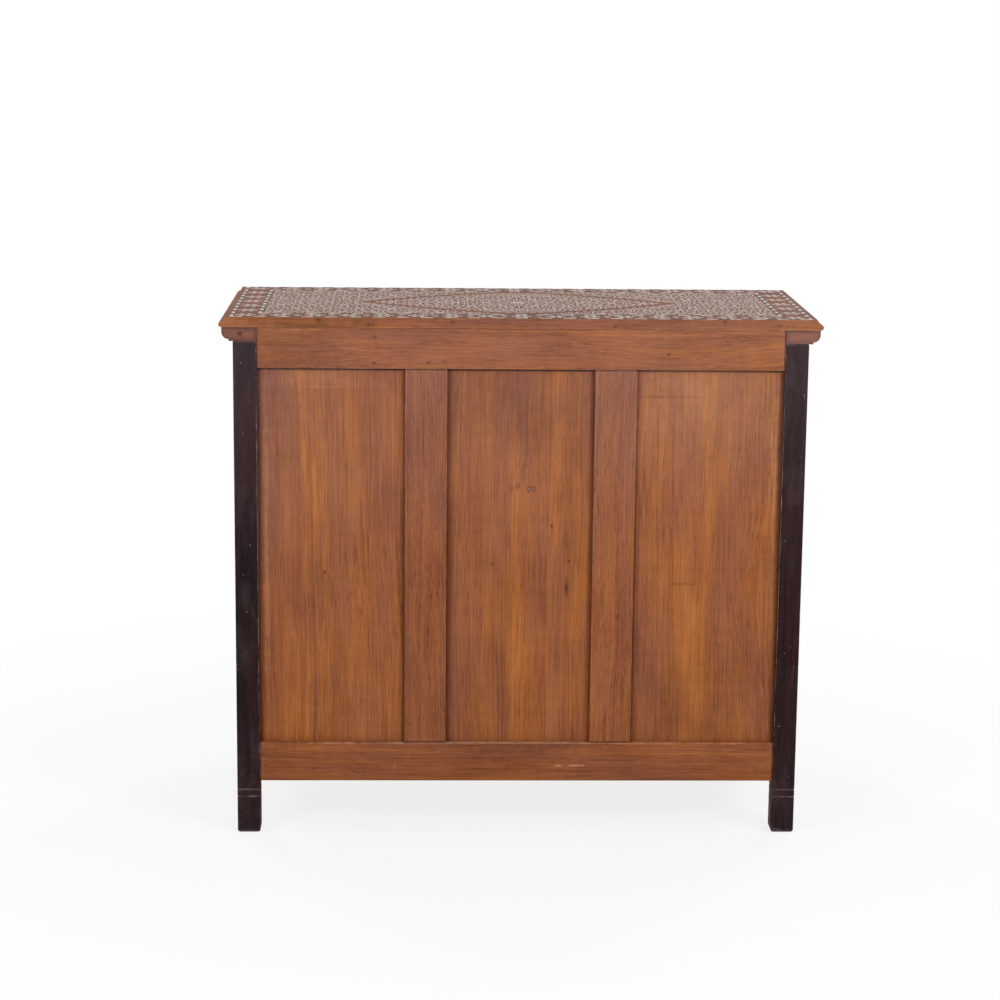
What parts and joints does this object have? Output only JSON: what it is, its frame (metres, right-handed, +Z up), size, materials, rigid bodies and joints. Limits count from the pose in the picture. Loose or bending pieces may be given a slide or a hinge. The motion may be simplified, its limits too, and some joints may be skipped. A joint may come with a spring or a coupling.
{
  "type": "chest of drawers",
  "caption": "Framed and panelled wooden chest with a moulded inlaid top, dark square corner posts and dovetailed drawers that slide out of its front, for storing clothes and linen.",
  "frame": {"origin": "on the floor, below the middle of the chest's outer box", "axes": "+Z up, +X to the right of someone who faces the drawers, +Y from the drawers towards the back"},
  "size_m": [1.034, 0.452, 0.918],
  "materials": {
    "teak": "oiled, satin",
    "ebonised_wood": "polished black stain, worn at the edges",
    "drawer_lining": "planed, unpolished"
  },
  "bodies": {
    "case": {"top_board": "teak", "moulding_left": "teak", "moulding_right": "teak", "moulding_front": "teak", "post_front_left": "ebonised_wood", "post_front_right": "ebonised_wood", "post_rear_left": "ebonised_wood", "post_rear_right": "ebonised_wood", "back_top_rail": "teak", "back_bottom_rail": "teak", "back_muntin_left": "teak", "back_muntin_right": "teak", "back_panel_left": "teak", "back_panel_centre": "teak", "back_panel_right": "teak", "side_top_rail_left": "teak", "side_top_rail_right": "teak", "side_bottom_rail_left": "teak", "side_bottom_rail_right": "teak", "side_panel_left": "teak", "side_panel_right": "teak", "front_top_rail": "teak", "drawer_rail_upper": "teak", "drawer_rail_lower": "teak", "front_bottom_rail": "teak", "drawer_divider": "teak", "runner_upper_left": "drawer_lining", "runner_upper_right": "drawer_lining", "runner_upper_centre": "drawer_lining", "runner_middle_left": "drawer_lining", "runner_middle_right": "drawer_lining", "runner_lower_left": "drawer_lining", "runner_lower_right": "drawer_lining", "rear_cross_rail": "drawer_lining"},
    "short_drawer_left": {"short_drawer_left_front": "teak", "short_drawer_left_side_left": "drawer_lining", "short_drawer_left_side_right": "drawer_lining", "short_drawer_left_back": "drawer_lining", "short_drawer_left_bottom": "drawer_lining", "short_drawer_left_knob": "ebonised_wood"},
    "short_drawer_right": {"short_drawer_right_front": "teak", "short_drawer_right_side_left": "drawer_lining", "short_drawer_right_side_right": "drawer_lining", "short_drawer_right_back": "drawer_lining", "short_drawer_right_bottom": "drawer_lining", "short_drawer_right_knob": "ebonised_wood"},
    "middle_drawer": {"middle_drawer_front": "teak", "middle_drawer_side_left": "drawer_lining", "middle_drawer_side_right": "drawer_lining", "middle_drawer_back": "drawer_lining", "middle_drawer_bottom": "drawer_lining", "middle_drawer_knob_left": "ebonised_wood", "middle_drawer_knob_right": "ebonised_wood"},
    "lower_drawer": {"lower_drawer_front": "teak", "lower_drawer_side_left": "drawer_lining", "lower_drawer_side_right": "drawer_lining", "lower_drawer_back": "drawer_lining", "lower_drawer_bottom": "drawer_lining", "lower_drawer_knob_left": "ebonised_wood", "lower_drawer_knob_right": "ebonised_wood"}
  },
  "joints": [
    {"name": "short_drawer_left_slide", "type": "slide", "parent": "case", "child": "short_drawer_left", "axis": [0, -1, 0], "range_m": [0, 0.28]},
    {"name": "short_drawer_right_slide", "type": "slide", "parent": "case", "child": "short_drawer_right", "axis": [0, -1, 0], "range_m": [0, 0.28]},
    {"name": "middle_drawer_slide", "type": "slide", "parent": "case", "child": "middle_drawer", "axis": [0, -1, 0], "range_m": [0, 0.28]},
    {"name": "lower_drawer_slide", "type": "slide", "parent": "case", "child": "lower_drawer", "axis": [0, -1, 0], "range_m": [0, 0.28]}
  ]
}
